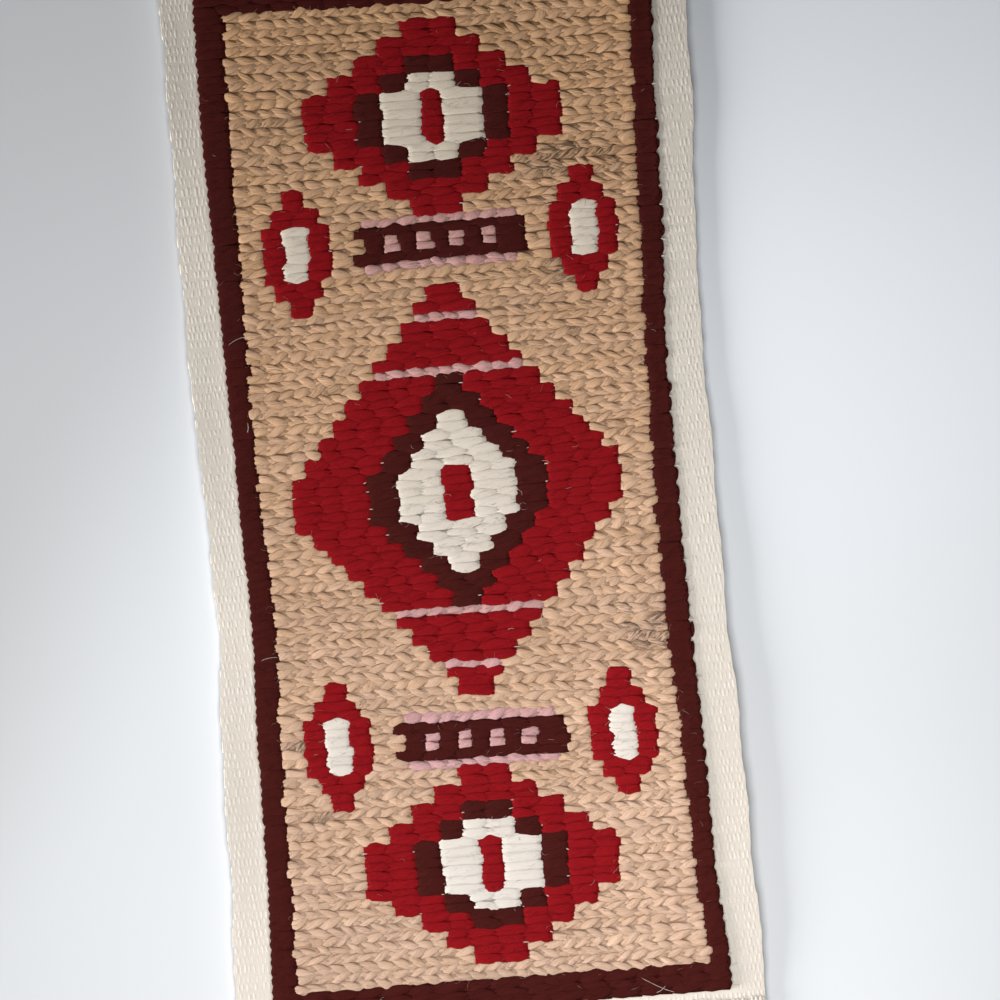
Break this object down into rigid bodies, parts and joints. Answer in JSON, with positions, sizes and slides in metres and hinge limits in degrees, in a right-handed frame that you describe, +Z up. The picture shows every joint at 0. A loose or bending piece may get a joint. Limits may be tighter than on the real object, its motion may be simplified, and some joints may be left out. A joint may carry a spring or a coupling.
{
  "type": "kilim rug",
  "caption": "Small narrow kilim rug lying flat: wrapped wool rows in geometric motifs inside a dark frame, on an off-white cotton cloth with plain margins and hemmed ends.",
  "frame": {"origin": "under the middle of the rug, on the surface it lies on", "axes": "+X across the rug to the right, +Y along its length towards the top of the picture, +Z up from the surface out of its worked face"},
  "size_m": [0.213, 0.445, 0.0055],
  "materials": {
    "cotton": "matte off-white cotton in a warp-faced weave",
    "tan_wool": "matte handspun wool, tan with grey flecks",
    "red_wool": "matte handspun wool, crimson",
    "dark_wool": "matte handspun wool, dark brown",
    "pink_wool": "matte handspun wool, dusty pink",
    "white_wool": "matte handspun wool, off-white"
  },
  "bodies": {
    "root": {"weaving": "tan_wool"}
  },
  "joints": []
}
